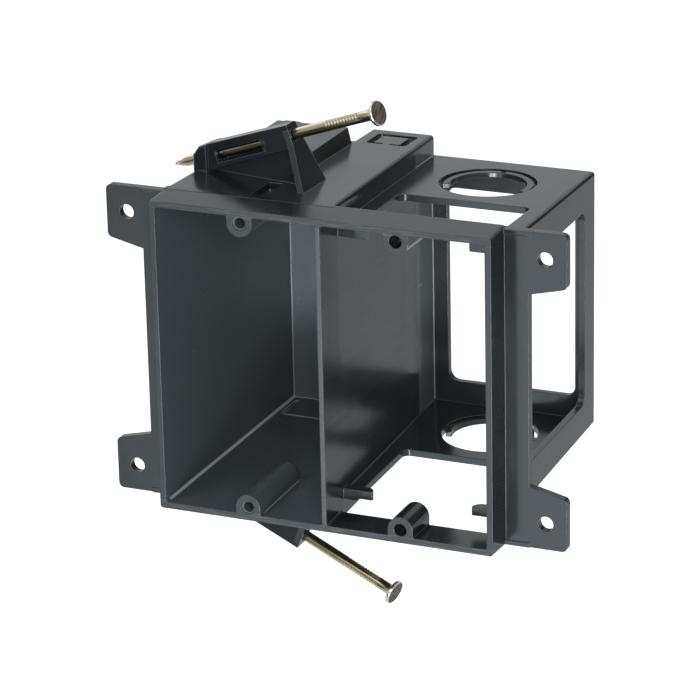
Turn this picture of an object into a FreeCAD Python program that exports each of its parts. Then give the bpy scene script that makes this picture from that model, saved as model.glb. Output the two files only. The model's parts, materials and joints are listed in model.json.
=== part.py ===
import FreeCAD, Part
import math
import os

from FreeCAD import Vector

# A two gang wall box for new work: the left gang is a closed power box, the right gang an open
# low voltage cage. X runs to the right, Y to the back, Z up. The origin is on the front face of
# the mounting ears, midway between their four holes. Sizes are in millimetres.

# Front rim and its divider
rim_width = 100.6
rim_beyond_screws = 3.83
rim_wall = 1.8
rim_corner_radius = 0.9
rim_rise = 0.6
rim_depth = 10.9
rim_stand_off = 9.7
divider_left = -0.45
divider_wall = 1.3

# Box and cage behind the rim
box_depth = 86.4
wall = 2.0
draft_angle = 1.3
edge_radius = 1.0
cage_width = 50.2
cage_drop = 5.3
inner_corner_radius = 0.7

# Mounting ears and flange
flange_thick = 2.4
flange_half_width = 57.3
ear_half_width = 68.2
ear_height = 17.8
ear_slant = 2.6
ear_corner_radius = 1.6
ear_hole_inset = 6.2
ear_hole_drop = 7.55
ear_hole_diameter = 4.4
ear_step_height = 1.3
ear_step_proud = 0.4

# Device screw bosses
device_half_pitch_x = 23.02
device_screw_pitch = 83.34
boss_radius = 3.75
power_boss_depth = 27.0
cage_boss_depth = 12.1
power_screw_diameter = 3.1
power_screw_depth = 20.0
screw_lead_diameter = 4.0
screw_lead_depth = 0.6
cage_screw_diameter = 3.7
core_slot_width = 4.3
core_slot_length = 13.2

# Openings in the cage
plate_opening_left = 5.2
plate_opening_right = 44.3
plate_opening_back = 46.5
plate_opening_radius = 2.0
side_window_front = 16.0
side_window_rear_bar = 8.6
side_window_bar = 10.9
back_window_left = 3.9
back_window_right = 43.4
back_window_bar = 10.3
window_corner_radius = 3.0

# Alignment fingers behind the rim of the cage
finger_length = 8.8
finger_thick = 2.5
finger_depth = 3.0
finger_below_plate = 0.65
finger_setback = 1.5
finger_tip_radius = 2.6

# Round knockouts in the cage plates
knockout_x = 24.1
knockout_from_back = 20.9
knockout_radius = 14.0
knockout_slot = 1.1
knockout_hole_radius = 11.1
knockout_ring_drop = 0.5
knockout_ring_half_angle = 106.0
knockout_tab_width = 2.2
knockout_tab_root = 0.6
knockout_notch_width = 1.3
knockout_notch_length = 1.4
knockout_rear_tab_left = 3.2

# Pry-out flap in the top and bottom of the power box
flap_left = -16.3
flap_width = 12.3
flap_from_back = 3.5
flap_length = 10.5
flap_slot = 2.2
flap_front_slot = 1.1

# Cable entry at the rear left of the power box
entry_left = -45.0
entry_right = -19.6
hood_length = 30.0
entry_opening = 16.4
entry_height = 4.7
entry_slope = 2.2
entry_notch_drop = 4.6
hood_wall = 1.4
tongue_slot = 1.0
tongue_step = 0.8

# Nail and its bracket; the nail leans up to the right and a little forward
nail_length = 74.0
nail_diameter = 3.1
nail_head_diameter = 7.1
nail_head_thick = 1.2
nail_point_length = 5.0
nail_tip_radius = 0.15
nail_rise_angle = 19.9
nail_turn_angle = 10.6
nail_clearance = 0.25
nail_exit_x = -17.9
nail_exit_depth = 27.0
nail_exit_rise = 13.9
upper_nail_stick_out = 28.6
lower_nail_stick_out = 31.4
channel_left_half_height = 3.8
channel_right_half_height = 3.35
channel_half_width = 3.0
pocket_left = -42.6
pocket_right = -26.0
pocket_above_axis = 1.1
pocket_below_axis = 2.35
pocket_ramp = 2.3
pocket_ramp_depth = 1.2
pocket_rear_wall = 1.2
end_block_right = -45.2
end_block_proud = 0.8
end_block_radius = 0.7
end_block_shoulder = 2.0
web_thick = 1.8
web_front = -0.6
end_plate_thick = 1.8
end_plate_lean = 23.4
end_plate_top_front = 0.9
end_plate_top_rear = 2.3
end_plate_side_front = 2.9
end_plate_side_drop = 1.5
end_plate_flare = 2.6
end_plate_flare_front = 3.4
end_plate_flare_rear = 4.1
end_plate_foot_front = 9.1
end_plate_foot_rear = 6.8
bracket_inset = 0.3
bracket_trim_size = 20.0

# Values worked out from the sizes above
half_width = rim_width / 2
device_half_pitch_z = device_screw_pitch / 2
half_height = device_half_pitch_z + rim_beyond_screws
taper = math.tan(math.radians(draft_angle))
flange_back = rim_stand_off + flange_thick
divider_right = divider_left + divider_wall
ear_hole_half_x = ear_half_width - ear_hole_inset
cage_half_height = half_height - cage_drop
ear_inner_height = half_height - ear_height
ear_hole_half_z = half_height - ear_hole_drop
side_window_half_height = cage_half_height - side_window_bar
back_window_half_height = cage_half_height - back_window_bar
full_half_height = half_height + rim_rise
inner_half_height = half_height - rim_wall
nail_exit_z = full_half_height + nail_exit_rise
inside_depth = box_depth - wall
side_window_back = box_depth - side_window_rear_bar
knockout_depth = box_depth - knockout_from_back
flap_front = box_depth - flap_from_back - flap_length
entry_back = box_depth - entry_opening
entry_front = entry_back - hood_length
beyond = 5.0
near_enough = 0.01


def at(depth):
    """The Y place of a depth measured back from the front of the rim."""
    return depth - rim_stand_off


def narrowing(depth):
    """How far a wall has drawn in at a depth, from the mould's draft."""
    return taper * max(0.0, depth - flange_back)


def block(x0, x1, depth0, depth1, z0, z1):
    """A plain box between two depths."""
    corner = Vector(min(x0, x1), at(depth0), min(z0, z1))
    return Part.makeBox(abs(x1 - x0), depth1 - depth0, abs(z1 - z0), corner)


def rounded_outline(x0, x1, z0, z1, y, radius):
    """A closed rectangle with round corners, in the plane at y."""
    c = radius * (1 - math.sqrt(0.5))
    r = radius
    edges = [
        Part.LineSegment(Vector(x0 + r, y, z0), Vector(x1 - r, y, z0)).toShape(),
        Part.Arc(Vector(x1 - r, y, z0), Vector(x1 - c, y, z0 + c), Vector(x1, y, z0 + r)).toShape(),
        Part.LineSegment(Vector(x1, y, z0 + r), Vector(x1, y, z1 - r)).toShape(),
        Part.Arc(Vector(x1, y, z1 - r), Vector(x1 - c, y, z1 - c), Vector(x1 - r, y, z1)).toShape(),
        Part.LineSegment(Vector(x1 - r, y, z1), Vector(x0 + r, y, z1)).toShape(),
        Part.Arc(Vector(x0 + r, y, z1), Vector(x0 + c, y, z1 - c), Vector(x0, y, z1 - r)).toShape(),
        Part.LineSegment(Vector(x0, y, z1 - r), Vector(x0, y, z0 + r)).toShape(),
        Part.Arc(Vector(x0, y, z0 + r), Vector(x0 + c, y, z0 + c), Vector(x0 + r, y, z0)).toShape(),
    ]
    return Part.Wire(edges)


def tapered_block(near, far, depth0, depth1, radius):
    """A block whose outline changes evenly from near to far; each is x0, x1, z0, z1."""
    front = rounded_outline(*near, at(depth0), radius)
    back = rounded_outline(*far, at(depth1), radius)
    return Part.makeLoft([front, back], True, True)


def rounded_block(x0, x1, depth0, depth1, z0, z1, along, radius):
    """A plain box with the four edges that run along one direction rounded."""
    solid = block(x0, x1, depth0, depth1, z0, z1)
    edges = [e for e in solid.Edges if abs(e.tangentAt(e.FirstParameter).dot(along)) > 0.99]
    return solid.makeFillet(radius, edges)


def cylinder(radius, x, z, depth0, depth1):
    """A round bar along Y between two depths."""
    return Part.makeCylinder(radius, depth1 - depth0, Vector(x, at(depth0), z), Vector(0, 1, 0))


def upside_down(shape):
    """The same shape mirrored to the underside."""
    return shape.mirror(Vector(0, 0, 0), Vector(0, 0, 1))


def both_sides(shape):
    """The shape and its mirror image below, as one."""
    return shape.fuse(upside_down(shape))


def shell_outside():
    """Rim, power box and cage as one solid outside form."""
    n = narrowing(box_depth)
    rim = tapered_block(
        (-half_width, half_width, -half_height, half_height),
        (-half_width, half_width, -full_half_height, full_half_height),
        0, rim_depth, rim_corner_radius)
    power_near = (-half_width, divider_right, -full_half_height, full_half_height)
    power_far = (-half_width + n, divider_right - n, -full_half_height + n, full_half_height - n)
    power_front = block(-half_width, divider_right, rim_stand_off, flange_back,
                        -full_half_height, full_half_height)
    power = tapered_block(power_near, power_far, flange_back, box_depth, edge_radius)
    cage_near = (divider_left, cage_width, -cage_half_height, cage_half_height)
    cage_far = (divider_left - n, cage_width - n, -cage_half_height + n, cage_half_height - n)
    cage_front = block(0, cage_width, rim_stand_off, flange_back, -cage_half_height, cage_half_height)
    cage = tapered_block(cage_near, cage_far, flange_back, box_depth, edge_radius)
    return rim.multiFuse([power_front, power, cage_front, cage])


def power_cavity():
    """The inside of the power box, open at the front."""
    n = taper * inside_depth
    near = (-half_width + rim_wall, divider_left, -inner_half_height, inner_half_height)
    far = (near[0] + n, near[1] - n, near[2] + n, near[3] - n)
    mouth = block(near[0], near[1], -beyond, 0, near[2], near[3])
    return tapered_block(near, far, 0, inside_depth, inner_corner_radius).fuse(mouth)


def cage_cavity():
    """The inside of the cage: the tall mouth within the rim, then the space between the plates."""
    n = narrowing(inside_depth)
    mouth = rounded_block(divider_right, half_width - rim_wall, -beyond, flange_back,
                          -inner_half_height, inner_half_height, Vector(0, 1, 0), inner_corner_radius)
    near = (divider_right, cage_width - wall, -cage_half_height + wall, cage_half_height - wall)
    far = (near[0] - n, near[1] - n, near[2] + n, near[3] - n)
    inside = tapered_block(near, far, flange_back, inside_depth, inner_corner_radius)
    return mouth.fuse(inside)


def flange_side():
    """The right side of the flange with its two ears, holes and small steps."""
    inner_x = half_width - rim_wall / 2
    slant_end = ear_inner_height + ear_slant
    outline = [
        (inner_x, -half_height), (ear_half_width, -half_height), (ear_half_width, -slant_end),
        (flange_half_width, -ear_inner_height), (flange_half_width, ear_inner_height),
        (ear_half_width, slant_end), (ear_half_width, half_height), (inner_x, half_height),
    ]
    points = [Vector(x, 0, z) for x, z in outline]
    plate = Part.Face(Part.makePolygon(points + points[:1])).extrude(Vector(0, flange_thick, 0))
    corners = [e for e in plate.Edges if is_ear_corner(e)]
    plate = plate.makeFillet(ear_corner_radius, corners)
    step_bottom = half_height - ear_step_height
    for sign in (1, -1):
        step = block(half_width - ear_step_proud, flange_half_width, rim_stand_off - ear_step_proud,
                     rim_stand_off + ear_step_proud, sign * step_bottom, sign * half_height)
        plate = plate.fuse(step)
    for sign in (1, -1):
        hole = cylinder(ear_hole_diameter / 2, ear_hole_half_x, sign * ear_hole_half_z,
                        rim_stand_off - beyond, flange_back + beyond)
        plate = plate.cut(hole)
    return plate


def is_ear_corner(edge):
    """True for the straight edges through the plate at an ear's outer corners."""
    middle = edge.CenterOfMass
    across = abs(edge.tangentAt(edge.FirstParameter).y) > 0.99
    return across and abs(middle.x - ear_half_width) < near_enough


def screw_boss(x, depth):
    """A round boss under the upper rim, joined up to the wall above it."""
    bar = cylinder(boss_radius, x, device_half_pitch_z, 0, depth)
    root = block(x - boss_radius, x + boss_radius, 0, depth, device_half_pitch_z,
                 inner_half_height + rim_wall / 2)
    return bar.fuse(root)


def screw_holes():
    """The upper device screw holes, with the core slot above the power boss."""
    power = cylinder(power_screw_diameter / 2, -device_half_pitch_x, device_half_pitch_z,
                     -beyond, power_screw_depth)
    lead = cylinder(screw_lead_diameter / 2, -device_half_pitch_x, device_half_pitch_z,
                    -beyond, screw_lead_depth)
    cage = cylinder(cage_screw_diameter / 2, device_half_pitch_x, device_half_pitch_z,
                    -beyond, cage_boss_depth + beyond)
    core = block(-device_half_pitch_x - core_slot_width / 2, -device_half_pitch_x + core_slot_width / 2,
                 flange_back, flange_back + core_slot_length, device_half_pitch_z,
                 full_half_height + beyond)
    return power.multiFuse([lead, cage, core])


def cage_openings():
    """Windows in the side and back of the cage, and the front openings of its plates."""
    side = rounded_block(cage_width - narrowing(box_depth) - wall - beyond, cage_width + beyond,
                         side_window_front, side_window_back, -side_window_half_height,
                         side_window_half_height, Vector(1, 0, 0), window_corner_radius)
    back = rounded_block(back_window_left, back_window_right, inside_depth - beyond, box_depth + beyond,
                         -back_window_half_height, back_window_half_height, Vector(0, 1, 0),
                         window_corner_radius)
    plates = rounded_block(plate_opening_left, plate_opening_right, rim_depth, plate_opening_back,
                           -full_half_height - beyond, full_half_height + beyond, Vector(0, 0, 1),
                           plate_opening_radius)
    return side.multiFuse([back, plates])


def fingers():
    """The two upper alignment fingers, one from the divider and one from the side wall."""
    top = cage_half_height - finger_below_plate
    front = flange_back + finger_setback - finger_depth / 2
    left_tip = divider_right + finger_length
    right_tip = cage_width - wall - finger_length
    left = finger(divider_right - divider_wall / 2, left_tip, front, top)
    right = finger(right_tip, cage_width - wall / 2, front, top)
    return round_rear_edge(left, left_tip).fuse(round_rear_edge(right, right_tip))


def finger(x0, x1, front, top):
    """A square finger between two X places."""
    return block(x0, x1, front, front + finger_depth, top - finger_thick, top)


def round_rear_edge(solid, tip):
    """The finger with the upright edge at the back of its tip rounded."""
    rear = max(vertex.Y for vertex in solid.Vertexes)
    edges = [e for e in solid.Edges
             if abs(e.tangentAt(e.FirstParameter).z) > 0.99
             and abs(e.CenterOfMass.x - tip) < near_enough and abs(e.CenterOfMass.y - rear) < near_enough]
    return solid.makeFillet(finger_tip_radius, edges)


def plate_top(depth):
    """Height of the cage's upper plate at a depth."""
    return cage_half_height - narrowing(depth)


def knockout_cut():
    """The round hole that the knockout ring sits in."""
    top = plate_top(knockout_depth)
    centre = Vector(knockout_x, at(knockout_depth), top - wall - beyond)
    return Part.makeCylinder(knockout_radius, wall + 2 * beyond, centre)


def knockout_ring():
    """The C shaped ring left in the round hole, with the tabs that hold it."""
    top = plate_top(knockout_depth) - knockout_ring_drop
    base = Vector(knockout_x, at(knockout_depth), top - wall + knockout_ring_drop)
    height = wall - knockout_ring_drop
    ring = Part.makeCylinder(knockout_radius - knockout_slot, height, base, Vector(0, 0, 1),
                             2 * knockout_ring_half_angle)
    hole = Part.makeCylinder(knockout_hole_radius, height, base)
    ring = ring.cut(hole)
    ring.rotate(base, Vector(0, 0, 1), 90 - knockout_ring_half_angle)
    ring_radius = knockout_radius - knockout_slot
    for sign in (1, -1):
        inner = knockout_x + sign * (ring_radius - knockout_tab_root)
        outer = knockout_x + sign * (knockout_radius + knockout_tab_root)
        tab = Part.makeBox(abs(outer - inner), knockout_tab_width, height / 2,
                           Vector(min(inner, outer), at(knockout_depth) - knockout_tab_width / 2, base.z))
        ring = ring.fuse(tab)
    rear_tab = Part.makeBox(knockout_tab_width, knockout_slot + 2 * knockout_tab_root, height / 2,
                            Vector(knockout_x - knockout_rear_tab_left - knockout_tab_width / 2,
                                   at(knockout_depth) + ring_radius - knockout_tab_root, base.z))
    notch = Part.makeBox(knockout_notch_width, knockout_notch_length + knockout_slot, height,
                         Vector(knockout_x - knockout_notch_width / 2,
                                at(knockout_depth) + ring_radius - knockout_notch_length, base.z))
    return ring.cut(notch).fuse(rear_tab)


def flap_cut():
    """The slot round three sides of the pry-out flap in the top of the power box."""
    low = inner_half_height - taper * box_depth - beyond
    high = full_half_height + beyond
    outer = rounded_block(flap_left, flap_left + flap_width, flap_front, flap_front + flap_length,
                          low, high, Vector(0, 0, 1), edge_radius)
    flap = block(flap_left + flap_slot, flap_left + flap_width - flap_slot,
                 flap_front + flap_front_slot, flap_front + flap_length - flap_slot, low, high)
    bridge = block(flap_left + flap_width / 2 - flap_slot / 2, flap_left + flap_width / 2 + flap_slot / 2,
                   flap_front - flap_slot, flap_front + flap_front_slot, low, high)
    return outer.cut(flap).cut(bridge)


def entry_hump():
    """The raised hood in front of the cable entry, hollow and open to the back."""
    floor = full_half_height - narrowing(entry_back)
    roof = floor + entry_height
    sides = [(entry_left, floor - wall), (entry_right, floor - wall), (entry_right, floor),
             (entry_right - entry_slope / 2, roof), (entry_left + entry_slope, roof), (entry_left, floor)]
    points = [Vector(x, at(entry_front), z) for x, z in sides]
    length = Vector(0, entry_back - entry_front, 0)
    outside = Part.Face(Part.makePolygon(points + points[:1])).extrude(length)
    hollow = block(entry_left + wall, entry_right - wall, entry_front + wall, entry_back + beyond,
                   floor, roof - hood_wall)
    return outside.cut(hollow)


def entry_notch():
    """The open mouth behind the hood, cut through the top and the upper part of the back."""
    floor = full_half_height - narrowing(entry_back)
    return rounded_block(entry_left + wall, entry_right, entry_back, box_depth + beyond,
                         floor - entry_notch_drop, full_half_height + beyond, Vector(1, 0, 0), edge_radius)


def tongue_cut():
    """The slit round three edges of the tongue that closes the mouth, and the step over it."""
    floor = full_half_height - narrowing(entry_back)
    low = floor - wall - beyond
    high = floor + beyond
    mouth = rounded_block(entry_left, entry_right, entry_back, inside_depth - wall, low, high,
                          Vector(0, 0, 1), edge_radius * 2)
    tongue = block(entry_left + tongue_slot, entry_right - tongue_slot, entry_back + tongue_slot,
                   inside_depth, low, high)
    step = block(entry_left + tongue_slot, entry_right - tongue_slot, entry_back, box_depth + beyond,
                 floor - tongue_step, high)
    return mouth.cut(tongue).fuse(step)


def nail_directions():
    """Unit directions along the nail, level to its back, and square to both."""
    rise = math.radians(nail_rise_angle)
    turn = math.radians(nail_turn_angle)
    along = Vector(math.cos(rise) * math.cos(turn), -math.cos(rise) * math.sin(turn), math.sin(rise))
    back = Vector(math.sin(turn), math.cos(turn), 0)
    return along, back, along.cross(back)


def nail_exit():
    """The point where the upper nail's axis leaves its bracket."""
    return Vector(nail_exit_x, at(nail_exit_depth), nail_exit_z)


def axis_point(x):
    """The point of the nail's axis at a given X."""
    along, _, _ = nail_directions()
    return nail_exit() + along * ((x - nail_exit_x) / along.x)


def leaning_plate(sides, v0, v1):
    """A plate square to the nail's plan line; sides lists X and height above the nail's axis,
    and a height of None stands for just inside the top of the box."""
    _, back, _ = nail_directions()
    points = []
    for x, above in sides:
        foot = axis_point(x)
        height = full_half_height - wall / 2 if above is None else foot.z + above
        points.append(Vector(foot.x, foot.y, height) + back * v0)
    return Part.Face(Part.makePolygon(points + points[:1])).extrude(back * (v1 - v0))


def end_block(left):
    """The thick block at the left end of the channel, with a sloping shoulder and soft front edges."""
    half = channel_left_half_height
    wide = channel_half_width + end_block_proud
    sides = [(left, None), (end_block_right, None), (end_block_right, half),
             (left + end_block_shoulder, half), (left, half - end_block_shoulder)]
    solid = leaning_plate(sides, -wide, wide)
    _, back, _ = nail_directions()
    front = min(vertex.Point.dot(back) for vertex in solid.Vertexes)
    edges = [e for e in solid.Edges
             if abs(e.CenterOfMass.dot(back) - front) < near_enough and e.CenterOfMass.z > full_half_height]
    return solid.makeFillet(end_block_radius, edges)


def channel_pocket():
    """The pocket in the front of the channel that shows the nail, with a slanted right end."""
    along, back, up = nail_directions()
    left = axis_point(pocket_left)
    right = axis_point(pocket_right)
    deep = channel_half_width
    floor = deep - pocket_rear_wall
    ramp_end = right - along * pocket_ramp
    plan = [left + back * (-deep - beyond), left + back * floor, ramp_end + back * floor,
            ramp_end + back * (pocket_ramp_depth - deep), right + back * -deep,
            right + back * (-deep - beyond)]
    corners = [point - up * pocket_below_axis for point in plan]
    height = up * (pocket_above_axis + pocket_below_axis)
    return Part.Face(Part.makePolygon(corners + corners[:1])).extrude(height)


def end_plate_directions():
    """The end plate's direction out of the bracket, and its upward direction along its face."""
    lean = math.radians(end_plate_lean)
    return Vector(math.cos(lean), 0, math.sin(lean)), Vector(-math.sin(lean), 0, math.cos(lean))


def end_plate():
    """The leaning plate at the end of the channel, flared down to the box on both sides."""
    outward, rising = end_plate_directions()
    exit_point = nail_exit()
    top = channel_right_half_height
    foot = -(exit_point.z - full_half_height + wall / 2) / rising.z
    outline = [
        (-end_plate_top_front, top), (end_plate_top_rear, top), (end_plate_flare_rear, -end_plate_flare),
        (end_plate_foot_rear, foot), (-end_plate_foot_front, foot),
        (-end_plate_flare_front, -end_plate_flare), (-end_plate_side_front, top - end_plate_side_drop),
    ]
    corners = [exit_point + Vector(0, y, 0) + rising * height for y, height in outline]
    return Part.Face(Part.makePolygon(corners + corners[:1])).extrude(outward * -end_plate_thick)


def nail_bracket():
    """The upper bracket: a leaning channel, its end block, its web and its flared end plate."""
    along, back, up = nail_directions()
    exit_point = nail_exit()
    left = -half_width + bracket_inset
    right = nail_exit_x + beyond
    near = channel_left_half_height
    far = channel_right_half_height
    deep = channel_half_width
    channel = leaning_plate([(left, -near), (right, -far), (right, far), (left + end_block_shoulder, near),
                             (left, near - end_block_shoulder)], -deep, deep)
    web_right = right + beyond
    web_sides = [(left, None), (web_right, None), (web_right, 0), (left, 0)]
    web = leaning_plate(web_sides, web_front, web_front + web_thick)
    outward, _ = end_plate_directions()
    trim = Part.makeCylinder(bracket_trim_size, bracket_trim_size, exit_point, outward)
    body = channel.multiFuse([end_block(left), web]).cut(trim).fuse(end_plate())
    bore_radius = nail_diameter / 2 + nail_clearance
    bore = Part.makeCylinder(bore_radius, 2 * nail_length, exit_point - along * nail_length, along)
    return body.cut(channel_pocket()), bore


def nail(stick_out):
    """The upper nail, with its head that far out of the bracket along its axis."""
    along, _, _ = nail_directions()
    head_under = nail_exit() + along * stick_out
    shank_length = nail_length - nail_head_thick - nail_point_length
    shank = Part.makeCylinder(nail_diameter / 2, shank_length, head_under, along * -1)
    head = Part.makeCylinder(nail_head_diameter / 2, nail_head_thick, head_under, along)
    tip_base = head_under - along * shank_length
    point = Part.makeCone(nail_diameter / 2, nail_tip_radius, nail_point_length, tip_base, along * -1)
    return shank.multiFuse([head, point]).removeSplitter()


def box_body():
    """The whole moulding."""
    hump = entry_hump()
    bracket, bore = nail_bracket()
    right_flange = flange_side()
    left_flange = right_flange.mirror(Vector(0, 0, 0), Vector(1, 0, 0))
    power_boss = screw_boss(-device_half_pitch_x, power_boss_depth)
    cage_boss = screw_boss(device_half_pitch_x, cage_boss_depth)
    outside = shell_outside().multiFuse([right_flange, left_flange, both_sides(hump), both_sides(bracket)])
    body = outside.cut(power_cavity()).cut(cage_cavity()).cut(cage_openings())
    body = body.multiFuse([both_sides(power_boss), both_sides(cage_boss), both_sides(fingers())])
    cuts = [both_sides(screw_holes()), both_sides(knockout_cut()), both_sides(flap_cut()),
            entry_notch(), upside_down(tongue_cut()), both_sides(bore)]
    for tool in cuts:
        body = body.cut(tool)
    body = body.fuse(both_sides(knockout_ring()))
    return body.removeSplitter()


def save(shape, name):
    """Write one node's STEP file and print its state."""
    os.makedirs("parts", exist_ok=True)
    shape.exportStep("parts/" + name + ".step")
    print(name, "solids", len(shape.Solids), "valid", shape.isValid(), "volume", round(shape.Volume, 1))


save(box_body(), "box_body")
save(nail(upper_nail_stick_out), "upper_nail")
save(upside_down(nail(lower_nail_stick_out)), "lower_nail")
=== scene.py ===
import json
import math

import bmesh
import bpy
from mathutils import Matrix, Vector


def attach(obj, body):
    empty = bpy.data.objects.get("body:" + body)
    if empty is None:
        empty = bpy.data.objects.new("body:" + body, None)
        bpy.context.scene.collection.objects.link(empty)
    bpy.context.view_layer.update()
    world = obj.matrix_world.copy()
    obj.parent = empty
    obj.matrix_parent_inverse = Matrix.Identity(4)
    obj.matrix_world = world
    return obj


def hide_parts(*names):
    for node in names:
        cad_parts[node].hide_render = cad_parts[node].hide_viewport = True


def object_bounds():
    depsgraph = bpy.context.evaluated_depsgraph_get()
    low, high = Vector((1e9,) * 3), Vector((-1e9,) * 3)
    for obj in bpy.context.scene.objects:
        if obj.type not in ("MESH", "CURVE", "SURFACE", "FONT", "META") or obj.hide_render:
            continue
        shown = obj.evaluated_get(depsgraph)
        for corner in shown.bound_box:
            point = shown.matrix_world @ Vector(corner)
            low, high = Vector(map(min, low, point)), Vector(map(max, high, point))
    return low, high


# The looks of a moulded two gang wall box with two captive nails. Lengths are in metres.

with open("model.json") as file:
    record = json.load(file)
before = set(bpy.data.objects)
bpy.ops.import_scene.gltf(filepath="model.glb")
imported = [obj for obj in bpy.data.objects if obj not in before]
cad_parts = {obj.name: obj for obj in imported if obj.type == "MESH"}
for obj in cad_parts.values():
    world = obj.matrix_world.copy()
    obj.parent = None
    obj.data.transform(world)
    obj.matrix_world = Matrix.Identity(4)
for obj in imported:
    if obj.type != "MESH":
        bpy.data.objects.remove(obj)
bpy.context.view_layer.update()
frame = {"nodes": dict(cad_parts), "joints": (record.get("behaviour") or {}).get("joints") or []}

# Camera, a long lens from the front right: angles in degrees, lens and sensor in millimetres
camera_place = (0.3779, -0.8501, 0.3455)
camera_azimuth = 23.69
camera_elevation = 20.12
camera_roll = -1.25
camera_lens = 185.4
camera_sensor = 36.0
camera_near = 0.01
camera_far = 50.0

# Head and neck of a nail
head_radius = 0.00355
head_thick = 0.0012
head_edge_radius = 0.0003
neck_start = 0.0001
neck_length = 0.0006
neck_flare = 0.0006

# Shank and point of a nail
shank_radius = 0.00155
point_length = 0.0050
point_fullness = 0.00018
tip_radius = 0.00015

# Raised grid on the face of the head
check_pitch = 0.0008
check_depth = 0.00006

# How near two places along a nail count as the same
same_place = 0.00001

# Gripper marks pressed into two sides of the shank, and how far they are turned, in degrees
mark_first = 0.0062
mark_pitch = 0.00105
mark_count = 11
mark_depth = 0.00022
mark_spread = 1.1
upper_mark_turn = -50.0
lower_mark_turn = 50.0

# How finely a nail is divided: round it, across the face, over the edge of the face, along a mark
nail_sides = 72
face_rings = 16
head_edge_steps = 6
mark_steps = 8

# Bands of faces below that edge that belong to the head: its side, lower edge, underside and neck
head_lower_bands = 4

# Regions of the box with a colour or gloss of their own, some of it painted light, each from its low to
# its high corner
power_inside = ((-0.0486, -0.0096, -0.0438), (-0.0005, 0.0765, 0.0438))
power_corners = ((-0.0486, -0.0075, -0.0438), (-0.0005, 0.0765, 0.0438))
power_rear_wall = ((-0.0486, 0.0740, -0.0438), (-0.0005, 0.0765, 0.0438))
power_left_foot = ((-0.0490, -0.0096, -0.0440), (-0.0455, 0.0765, -0.0405))
divider_cage_side = ((-0.0003, -0.0096, -0.0438), (0.0022, 0.0765, 0.0438))
divider_front = ((-0.0032, -0.0099, -0.0430), (0.0032, -0.0090, 0.0430))
rim_top = ((-0.0505, -0.0099, 0.0430), (0.0505, -0.0090, 0.0458))
rim_bottom = ((-0.0505, -0.0099, -0.0458), (0.0505, -0.0090, -0.0430))

# Patterns in the plastic: scale, detail and roughness of the noise, and how some are drawn out
flow_noise = (38.0, 3.0, 0.5)
streak_noise = (420.0, 4.0, 0.6)
grain_noise = (3200.0, 2.0, 0.5)
dust_noise = (1500.0, 4.0, 0.75)
scuff_noise = (2600.0, 3.0, 0.65)
streak_stretch = (1.0, 0.06, 1.0)
scuff_stretch = (0.05, 1.0, 1.0)

# The part of each pattern's values that its effect is spread over
broad_range = (0.3, 0.7)
streak_range = (0.35, 0.75)
dust_range = (0.66, 0.74)
scuff_range = (0.48, 0.70)

# Colours of the plastic, the darker and the lighter one where there are two
outside_colours = ((0.0140, 0.0170, 0.0192), (0.0180, 0.0215, 0.0240))
# Inside the power box the plastic is painted greyer than outside: painted light for the light falling
# into it
inside_painted_light_colours = ((0.070, 0.084, 0.093), (0.086, 0.101, 0.111))
# The rear wall of the power box is painted lighter still: painted light
rear_wall_painted_light_colours = ((0.075, 0.091, 0.101), (0.130, 0.150, 0.163))
# Edges are painted lighter: outside as wear and painted highlight, inside the power box as painted
# highlight on the rounded corners
outside_edge_wear_and_highlight_colour = (0.075, 0.084, 0.090)
inside_edge_highlight_colour = (0.420, 0.455, 0.475)
# The scuff colour marks scuffing on the rim's front and is a painted highlight spread evenly over the
# divider's front
scuff_and_highlight_colour = (0.085, 0.093, 0.100)
speck_colour = (0.075, 0.083, 0.089)

# How strongly the scuff marks, the painted highlight on the divider's front and the specks of dust show
rim_scuffing = 0.8
divider_front_highlight = 0.6
speck_strength = 0.35

# Rounding of the edges in the shading. An edge is found by how much its rounded normal agrees with the
# plain one, and the left foot of the power box by the product of its normal's X and Z. The colour
# paints both lighter: as wear and painted highlight outside, and as painted highlight inside the power
# box.
outside_edge_radius = 0.00035
inside_edge_radius = 0.00080
edge_samples = 8
edge_likeness = (0.97, 0.80)
foot_tilt = (0.05, 0.25)

# Roughness of the plastic between glossy and dull flow marks, and what each place adds to it
gloss_range = (0.12, 0.18)
streak_dullness = 0.07
edge_dullness = 0.14
inside_dullness = 0.05
scuff_dullness = 0.16
divider_dullness = 0.05
plastic_ior = 1.48
plastic_glint = (0.84, 0.94, 1.0)

# Relief of the plastic: strength and height of each pattern
plastic_relief = {"flow": (0.15, 0.0009), "streaks": (0.05, 0.00008), "grain": (0.10, 0.00003)}

# Steels of a nail: the shank, the face of the head, and the head's rim and underside. Each has the
# stretch, scale and two colours of its patches, the colour and strength of its specks, and its
# range of roughness.
steels = (
    {"name": "nail_steel", "stretch": (1.0, 1.0, 0.05), "scale": 600.0,
     "colours": ((0.28, 0.23, 0.14), (0.54, 0.48, 0.35)),
     "speck_colour": (0.18, 0.15, 0.11), "specks": 0.08, "roughness": (0.20, 0.28)},
    {"name": "nail_head_steel", "stretch": (1.0, 0.10, 1.0), "scale": 1500.0,
     "colours": ((0.050, 0.042, 0.032), (0.21, 0.185, 0.14)),
     "speck_colour": (0.03, 0.026, 0.02), "specks": 0.7, "roughness": (0.32, 0.50)},
    {"name": "nail_rim_steel", "stretch": (1.0, 1.0, 1.0), "scale": 700.0,
     "colours": ((0.60, 0.58, 0.54), (0.80, 0.79, 0.77)),
     "speck_colour": (0.30, 0.28, 0.25), "specks": 0.7, "roughness": (0.14, 0.26)},
)
shank_index, face_index, rim_index = range(3)

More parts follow.
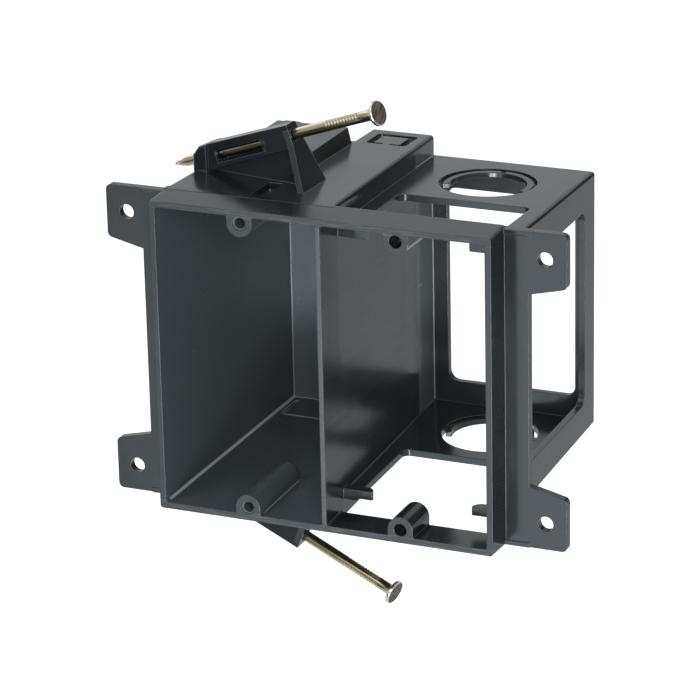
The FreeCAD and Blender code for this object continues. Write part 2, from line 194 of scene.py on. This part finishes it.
# Patches and fine grain of the steels, laid out in the nail's own space by a mesh attribute
nail_space = "own_place"
patch_detail = 4.0
patch_roughness = 0.65
patch_range = (0.40, 0.60)
steel_grain_noise = (2400.0, 3.0, 0.6)
steel_speck_range = (0.58, 0.75)
steel_relief = 0.4
steel_relief_height = 0.00004

# Floor and sky: colour, and strength as seen by the camera, in mirror reflections and as light
floor_gap = 0.50
floor_half = 6.0
floor_grey = 0.80
floor_glow = (0.94, 0.98, 1.0)
floor_strengths = (0.85, 0.28, 0.0)
sky_colour = (0.93, 0.975, 1.0)
sky_strengths = (1.0, 0.80, 0.33)
white = (1.0, 1.0, 1.0)
matte_roughness = 0.9

# Lamps aimed at the middle of the object: name, place, width, height and power in watts
lamps = (
    ("key", (-0.9, -1.3, 1.5), 1.0, 1.0, 9.0),
    ("front_right", (0.75, -1.45, 0.65), 0.7, 0.7, 14.0),
    ("low_left", (-0.297, -0.946, -0.3025), 0.45, 0.45, 1.0),
    ("low_front", (0.088, -1.034, -0.3784), 0.18, 0.18, 3.0),
    ("low_near", (0.105, -0.30, -0.122), 0.03, 0.09, 0.28),
    ("left", (-1.1, 0.25, -0.35), 0.35, 0.35, 1.2),
    ("rear_left", (-1.5, 0.9, 0.6), 1.0, 1.0, 4.0),
)

# Dark cards that only show in reflections: name, place, facing, width, height and grey
cards = (
    ("card_right", (0.16, 0.32, 0.075), (0.509, 0.86, 0.039), 0.12, 0.20, 0.08),
    ("card_left", (-0.50, -0.38, -0.16), (0.664, 0.664, 0.342), 0.36, 0.34, 0.03),
)


def opaque(colour):
    """A colour with full alpha."""
    return (*colour, 1.0)


def new_material(name):
    """An empty node material with its output and shader."""
    material = bpy.data.materials.new(name)
    material.use_nodes = True
    tree = material.node_tree
    tree.nodes.clear()
    output = tree.nodes.new("ShaderNodeOutputMaterial")
    shader = tree.nodes.new("ShaderNodeBsdfPrincipled")
    tree.links.new(shader.outputs["BSDF"], output.inputs["Surface"])
    return material, tree, shader


def add(tree, kind, inputs=None, **settings):
    """A node with its settings, and its inputs set to values or linked to sockets."""
    node = tree.nodes.new(kind)
    for name, value in settings.items():
        setattr(node, name, value)
    for name, value in (inputs or {}).items():
        if isinstance(value, bpy.types.NodeSocket):
            tree.links.new(value, node.inputs[name])
        else:
            node.inputs[name].default_value = value
    return node


def maths(tree, operation, *values):
    """One step of arithmetic on numbers and sockets."""
    return add(tree, "ShaderNodeMath", dict(enumerate(values)), operation=operation).outputs["Value"]


def noise(tree, place, scale, detail, roughness):
    """Noise over the surface, between 0 and 1."""
    node = add(tree, "ShaderNodeTexNoise", {"Vector": place, "Scale": scale, "Detail": detail,
                                            "Roughness": roughness})
    return node.outputs["Fac"]


def stretched(tree, place, stretch):
    """A place scaled along each axis, so that a pattern over it is drawn out."""
    return add(tree, "ShaderNodeMapping", {"Vector": place, "Scale": stretch}).outputs["Vector"]


def spread(tree, value, low, high, to_low, to_high):
    """A value moved from one range to another and held within it."""
    node = add(tree, "ShaderNodeMapRange", {"Value": value, "From Min": low, "From Max": high,
                                            "To Min": to_low, "To Max": to_high})
    return node.outputs["Result"]


def mix_colour(tree, factor, first, second):
    """One colour blended into another."""
    node = tree.nodes.new("ShaderNodeMix")
    node.data_type = "RGBA"
    tree.links.new(factor, node.inputs["Factor"])
    for socket, value in ((node.inputs[6], first), (node.inputs[7], second)):
        if isinstance(value, bpy.types.NodeSocket):
            tree.links.new(value, socket)
        else:
            socket.default_value = opaque(value)
    return node.outputs[2]


def bump(tree, height, strength, distance, normal=None):
    """A bump from a height, on top of another normal."""
    inputs = {"Height": height, "Strength": strength, "Distance": distance}
    if normal is not None:
        inputs["Normal"] = normal
    return add(tree, "ShaderNodeBump", inputs).outputs["Normal"]


def within(tree, place, region):
    """1 inside a region of object space and 0 outside it."""
    parts = add(tree, "ShaderNodeSeparateXYZ", {"Vector": place}).outputs
    mask = 1.0
    for name, low, high in zip("XYZ", *region):
        test = maths(tree, "COMPARE", parts[name], (low + high) / 2, (high - low) / 2)
        mask = maths(tree, "MULTIPLY", mask, test)
    return mask


def rounded_foot(tree, place, normal):
    """1 on the rounded corner where the left wall of the power box meets its floor."""
    parts = add(tree, "ShaderNodeSeparateXYZ", {"Vector": normal}).outputs
    tilt = maths(tree, "MULTIPLY", parts["X"], parts["Z"])
    round_part = spread(tree, tilt, *foot_tilt, 0.0, 1.0)
    # painted highlight: this corner is painted lighter along with the inside edges
    return maths(tree, "MULTIPLY", round_part, within(tree, place, power_left_foot))


def rim_scuffs_and_divider_highlight(tree, place):
    """How much the rim's front is marked by scuffing, in long streaks at top and bottom, and the
    divider's front lightened evenly as a painted highlight.
    """
    streaks = noise(tree, stretched(tree, place, scuff_stretch), *scuff_noise)
    marks = spread(tree, streaks, *scuff_range, 0.0, rim_scuffing)
    rim = maths(tree, "MAXIMUM", within(tree, place, rim_top), within(tree, place, rim_bottom))
    streaked = maths(tree, "MULTIPLY", rim, marks)
    # the divider's front gets the scuff colour evenly, as a painted highlight
    return maths(tree, "MULTIPLY_ADD", within(tree, place, divider_front), divider_front_highlight, streaked)


def plastic_edges(tree, place, corners):
    """The normal with its edges softened, and how much each place is an edge, which the colour paints
    lighter with wear and painted highlight.
    """
    radius = spread(tree, corners, 0.0, 1.0, outside_edge_radius, inside_edge_radius)
    soft = add(tree, "ShaderNodeBevel", {"Radius": radius}, samples=edge_samples).outputs["Normal"]
    plain = add(tree, "ShaderNodeNewGeometry").outputs["Normal"]
    likeness = add(tree, "ShaderNodeVectorMath", {0: soft, 1: plain}, operation="DOT_PRODUCT")
    sharp = spread(tree, likeness.outputs["Value"], *edge_likeness, 0.0, 1.0)
    return soft, maths(tree, "MAXIMUM", sharp, rounded_foot(tree, place, plain))


def plastic_colour(tree, place, patterns, masks):
    """Blue-black outside, greyer inside the power box and lighter on its rear wall as painted light,
    with edges lighter from wear and painted highlight, scuff marks on the rim, a painted highlight on
    the divider's front and specks of dust.
    """
    tone = spread(tree, patterns["flow"], *broad_range, 0.0, 1.0)
    mottle = spread(tree, patterns["grain"], *broad_range, 0.0, 1.0)
    outside = mix_colour(tree, tone, *outside_colours)
    # painted light: the inside of the power box is painted greyer
    inside = mix_colour(tree, mottle, *inside_painted_light_colours)
    # painted light: the rear wall of the power box is painted lighter
    rear_wall = mix_colour(tree, mottle, *rear_wall_painted_light_colours)
    walls = mix_colour(tree, masks["inside"], outside, inside)
    base = mix_colour(tree, within(tree, place, power_rear_wall), walls, rear_wall)
    # Scuff marks on the rim, and an even painted highlight on the divider's front
    scuffed_and_highlit = mix_colour(tree, masks["scuffs_and_divider_highlight"], base, scuff_and_highlight_colour)
    # Edges painted lighter: wear and painted highlight outside, painted highlight inside the power box
    edge_wear_and_highlight_colour = mix_colour(tree, masks["corners"], outside_edge_wear_and_highlight_colour, inside_edge_highlight_colour)
    worn_and_highlit = mix_colour(tree, masks["edges"], scuffed_and_highlit, edge_wear_and_highlight_colour)
    specks = spread(tree, patterns["dust"], *dust_range, 0.0, speck_strength)
    return mix_colour(tree, specks, worn_and_highlit, speck_colour)


def plastic_roughness(tree, place, patterns, masks):
    """Gloss that changes with the flow marks, and is duller on streaks, edges, scuff marks, the
    divider's front and inside.
    """
    flow = spread(tree, patterns["flow"], *broad_range, *gloss_range)
    streaks = spread(tree, patterns["streaks"], *streak_range, 0.0, streak_dullness)
    rough = maths(tree, "ADD", flow, streaks)
    places = (
        (masks["edges"], edge_dullness),
        (masks["inside"], inside_dullness),
        (masks["scuffs_and_divider_highlight"], scuff_dullness),
        (within(tree, place, divider_cage_side), divider_dullness),
    )
    for mask, dullness in places:
        rough = maths(tree, "MULTIPLY_ADD", mask, dullness, rough)
    return rough


def plastic_material():
    """Glossy blue-black moulded plastic: soft edges, faint flow marks, fine grain and scuff marks, with
    painted light inside the power box and painted highlights on the edges and the divider's front.
    """
    material, tree, shader = new_material("box_plastic")
    place = add(tree, "ShaderNodeTexCoord").outputs["Object"]
    patterns = {
        "flow": noise(tree, place, *flow_noise),
        "streaks": noise(tree, stretched(tree, place, streak_stretch), *streak_noise),
        "grain": noise(tree, place, *grain_noise),
        "dust": noise(tree, place, *dust_noise),
    }
    corners = within(tree, place, power_corners)
    normal, edges = plastic_edges(tree, place, corners)
    masks = {"inside": within(tree, place, power_inside), "corners": corners, "edges": edges,
             "scuffs_and_divider_highlight": rim_scuffs_and_divider_highlight(tree, place)}
    tree.links.new(plastic_colour(tree, place, patterns, masks), shader.inputs["Base Color"])
    tree.links.new(plastic_roughness(tree, place, patterns, masks), shader.inputs["Roughness"])
    shader.inputs["IOR"].default_value = plastic_ior
    shader.inputs["Specular Tint"].default_value = opaque(plastic_glint)
    for name, (strength, height) in plastic_relief.items():
        normal = bump(tree, patterns[name], strength, height, normal)
    tree.links.new(normal, shader.inputs["Normal"])
    return material


def steel_material(steel):
    """Worn steel in two colours with dark specks, patterned in the nail's own space."""
    material, tree, shader = new_material(steel["name"])
    place = add(tree, "ShaderNodeAttribute", attribute_name=nail_space).outputs["Vector"]
    drawn_out = stretched(tree, place, steel["stretch"])
    patches = noise(tree, drawn_out, steel["scale"], patch_detail, patch_roughness)
    grain = noise(tree, place, *steel_grain_noise)
    coat = mix_colour(tree, spread(tree, patches, *patch_range, 0.0, 1.0), *steel["colours"])
    specks = spread(tree, grain, *steel_speck_range, 0.0, steel["specks"])
    colour = mix_colour(tree, specks, coat, steel["speck_colour"])
    rough = spread(tree, patches, *broad_range, *steel["roughness"])
    relief = bump(tree, grain, steel["specks"] * steel_relief, steel_relief_height)
    tree.links.new(colour, shader.inputs["Base Color"])
    tree.links.new(rough, shader.inputs["Roughness"])
    tree.links.new(relief, shader.inputs["Normal"])
    shader.inputs["Metallic"].default_value = 1.0
    return material


def nail_line(node, joint):
    """The axis of a nail from its mesh and its joint: head centre, direction to the head, length."""
    along = -Vector(joint["axis"]).normalized()
    side = along.orthogonal().normalized()
    other = along.cross(side)
    points = [vertex.co for vertex in node.data.vertices]
    reach = max(p.dot(along) for p in points)
    foot = min(p.dot(along) for p in points)
    rim = [p for p in points if reach - p.dot(along) < same_place]
    middle_side = (max(p.dot(side) for p in rim) + min(p.dot(side) for p in rim)) / 2
    middle_other = (max(p.dot(other) for p in rim) + min(p.dot(other) for p in rim)) / 2
    return along * reach + side * middle_side + other * middle_other, along, reach - foot


def nail_profile(length):
    """Distance from the head's face and radius, from the edge of the face down to the tip."""
    rows = []
    for i in range(head_edge_steps + 1):
        turn = math.pi / 2 * i / head_edge_steps
        down = head_edge_radius * (1 - math.cos(turn))
        rows.append((down, head_radius - head_edge_radius * (1 - math.sin(turn))))
    rows.append((head_thick - head_edge_radius, head_radius))
    rows.append((head_thick, head_radius - head_edge_radius))
    rows.append((head_thick + neck_start, shank_radius + neck_flare))
    rows.append((head_thick + neck_length, shank_radius))
    distance = mark_first
    while distance < mark_first + mark_pitch * mark_count:
        rows.append((distance, shank_radius))
        distance += mark_pitch / mark_steps
    rows.append((length - point_length, shank_radius))
    rows.append((length - point_length / 2, (shank_radius + tip_radius) / 2 + point_fullness))
    rows.append((length, tip_radius))
    return rows


def mark_cut(distance, turn):
    """How deep the gripper marks cut at a place on the shank; they lie on two opposite sides."""
    if distance < mark_first or distance > mark_first + mark_pitch * mark_count:
        return 0.0
    wave = 0.5 - 0.5 * math.cos(2 * math.pi * (distance - mark_first) / mark_pitch)
    facing = abs(math.cos(turn))
    return mark_depth * wave ** 2 * max(0.0, facing * (1 + mark_spread) - mark_spread)


def check_height(x, y):
    """The raised grid on a nail's head at a place on its face, with its highest points at zero."""
    grid = math.cos(math.pi * (x + y) / check_pitch) * math.cos(math.pi * (x - y) / check_pitch)
    return check_depth * (grid - 1)


def nail_turns():
    """The angles of the points round a nail."""
    return [2 * math.pi * k / nail_sides for k in range(nail_sides)]


def face_ring(shape, radius, relief):
    """A ring of points on the face of the head, with or without the relief of its grid."""
    ring = []
    for turn in nail_turns():
        x = radius * math.cos(turn)
        y = radius * math.sin(turn)
        ring.append(shape.verts.new((x, y, relief * check_height(x, y))))
    return ring


def side_ring(shape, distance, radius):
    """A ring of points round the nail at a distance from the face of its head."""
    ring = []
    for turn in nail_turns():
        r = radius - mark_cut(distance, turn)
        ring.append(shape.verts.new((r * math.cos(turn), r * math.sin(turn), -distance)))
    return ring


def band_material(band):
    """Which steel a band of faces has, counted outwards over the face and then down the nail."""
    face_bands = face_rings - 1
    if band < face_bands:
        return face_index
    if band < face_bands + head_edge_steps + head_lower_bands:
        return rim_index
    return shank_index


def nail_mesh(name, length):
    """A nail along its own -Z, with its head's face at zero."""
    shape = bmesh.new()
    centre = shape.verts.new((0, 0, check_height(0, 0)))
    face_edge = head_radius - head_edge_radius
    rings = []
    for i in range(1, face_rings + 1):
        rings.append(face_ring(shape, face_edge * i / face_rings, 1.0 if i < face_rings else 0.0))
    for distance, radius in nail_profile(length)[1:]:
        rings.append(side_ring(shape, distance, radius))
    for k in range(nail_sides):
        n = (k + 1) % nail_sides
        shape.faces.new((centre, rings[0][k], rings[0][n])).material_index = face_index
    for band, (upper, lower) in enumerate(zip(rings, rings[1:])):
        for k in range(nail_sides):
            n = (k + 1) % nail_sides
            face = shape.faces.new((upper[k], lower[k], lower[n], upper[n]))
            face.material_index = band_material(band)
    shape.faces.new(list(reversed(rings[-1])))
    bmesh.ops.recalc_face_normals(shape, faces=shape.faces)
    mesh = bpy.data.meshes.new(name)
    shape.to_mesh(mesh)
    shape.free()
    for polygon in mesh.polygons:
        polygon.use_smooth = True
    own_place = mesh.attributes.new(nail_space, "FLOAT_VECTOR", "POINT")
    for vertex in mesh.vertices:
        own_place.data[vertex.index].vector = vertex.co
    return mesh


def make_nail(node_name, body, mark_turn, materials):
    """A detailed nail in the place of the plain one."""
    node = frame["nodes"][node_name]
    joint = next(j for j in frame["joints"] if j["child"] == body)
    top, along, length = nail_line(node, joint)
    mesh = nail_mesh(node_name + "_steel", length)
    turn = along.to_track_quat("Z", "Y").to_matrix().to_4x4()
    mesh.transform(Matrix.Translation(top) @ turn @ Matrix.Rotation(math.radians(mark_turn), 4, "Z"))
    for material in materials:
        mesh.materials.append(material)
    nail = bpy.data.objects.new(node_name + "_steel", mesh)
    bpy.context.scene.collection.objects.link(nail)
    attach(nail, body)
    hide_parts(node_name)


def dress_box():
    """Give the moulding its plastic."""
    node = frame["nodes"]["box_body"]
    node.data.materials.clear()
    node.data.materials.append(plastic_material())


def make_camera():
    """The photograph's view."""
    azimuth = math.radians(camera_azimuth)
    elevation = math.radians(camera_elevation)
    roll = math.radians(camera_roll)
    back = Vector((math.sin(azimuth) * math.cos(elevation), -math.cos(azimuth) * math.cos(elevation),
                   math.sin(elevation)))
    level = Vector((math.cos(azimuth), math.sin(azimuth), 0))
    upright = back.cross(level)
    right = level * math.cos(roll) + upright * math.sin(roll)
    up = upright * math.cos(roll) - level * math.sin(roll)
    data = bpy.data.cameras.new("camera")
    data.lens = camera_lens
    data.sensor_fit = "HORIZONTAL"
    data.sensor_width = camera_sensor
    data.clip_start = camera_near
    data.clip_end = camera_far
    camera = bpy.data.objects.new("camera", data)
    turn = Matrix((right, up, back)).transposed().to_4x4()
    camera.matrix_world = Matrix.Translation(Vector(camera_place)) @ turn
    bpy.context.scene.collection.objects.link(camera)
    bpy.context.scene.camera = camera


def by_ray(tree, seen, mirrored, lit):
    """A strength for rays from the camera, for mirror and clear rays, and for light on surfaces."""
    path = add(tree, "ShaderNodeLightPath").outputs
    clear = maths(tree, "MAXIMUM", path["Is Glossy Ray"], path["Is Transmission Ray"])
    bounced = spread(tree, clear, 0.0, 1.0, lit, mirrored)
    return maths(tree, "MULTIPLY_ADD", path["Is Camera Ray"], seen - lit, bounced)


def plane(name, half):
    """A square sheet with one face, as a new object."""
    shape = bmesh.new()
    bmesh.ops.create_grid(shape, x_segments=1, y_segments=1, size=half)
    mesh = bpy.data.meshes.new(name)
    shape.to_mesh(mesh)
    shape.free()
    sheet = bpy.data.objects.new(name, mesh)
    bpy.context.scene.collection.objects.link(sheet)
    return sheet


def matte_material(name, grey):
    """A dull plain grey."""
    material, tree, shader = new_material(name)
    shader.inputs["Base Color"].default_value = opaque((grey, grey, grey))
    shader.inputs["Roughness"].default_value = matte_roughness
    shader.inputs["Specular IOR Level"].default_value = 0.0
    return material, tree, shader


def make_floor():
    """A plain white floor under the object that keeps its shadow."""
    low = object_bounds()[0]
    floor = plane("floor", floor_half)
    floor.location = (0, 0, low.z - floor_gap)
    material, tree, shader = matte_material("floor_white", floor_grey)
    shader.inputs["Emission Color"].default_value = opaque(floor_glow)
    tree.links.new(by_ray(tree, *floor_strengths), shader.inputs["Emission Strength"])
    floor.data.materials.append(material)


def card(name, place, facing, width, height, grey):
    """A dark card that the camera doesn't see and that only shows in reflections."""
    board = plane(name, 0.5)
    board.scale = (width, height, 1.0)
    board.rotation_euler = Vector(facing).to_track_quat("Z", "Y").to_euler()
    board.location = place
    board.data.materials.append(matte_material(name, grey)[0])
    board.visible_camera = False
    board.visible_diffuse = False
    board.visible_shadow = False


def area_light(name, place, width, height, power):
    """A soft rectangular lamp at a place, pointed at the middle of the object."""
    data = bpy.data.lights.new(name, "AREA")
    data.shape = "RECTANGLE"
    data.size = width
    data.size_y = height
    data.energy = power
    lamp = bpy.data.objects.new(name, data)
    lamp.location = place
    lamp.rotation_euler = (-Vector(place)).to_track_quat("-Z", "Y").to_euler()
    bpy.context.scene.collection.objects.link(lamp)
    lamp.visible_camera = False


def make_sky():
    """A world that the camera sees as white, with a plain soft light."""
    world = bpy.data.worlds.new("studio")
    bpy.context.scene.world = world
    world.use_nodes = True
    tree = world.node_tree
    tree.nodes.clear()
    output = tree.nodes.new("ShaderNodeOutputWorld")
    strength = by_ray(tree, *sky_strengths)
    direct = add(tree, "ShaderNodeLightPath").outputs["Is Camera Ray"]
    colour = mix_colour(tree, direct, sky_colour, white)
    background = add(tree, "ShaderNodeBackground", {"Color": colour, "Strength": strength})
    tree.links.new(background.outputs["Background"], output.inputs["Surface"])


dress_box()
nail_materials = [steel_material(steel) for steel in steels]
make_nail("upper_nail", "upper_nail_body", upper_mark_turn, nail_materials)
make_nail("lower_nail", "lower_nail_body", lower_mark_turn, nail_materials)
make_floor()
for row in cards:
    card(*row)
make_sky()
for row in lamps:
    area_light(*row)
make_camera()
scene = bpy.context.scene
scene.view_settings.view_transform = "Standard"
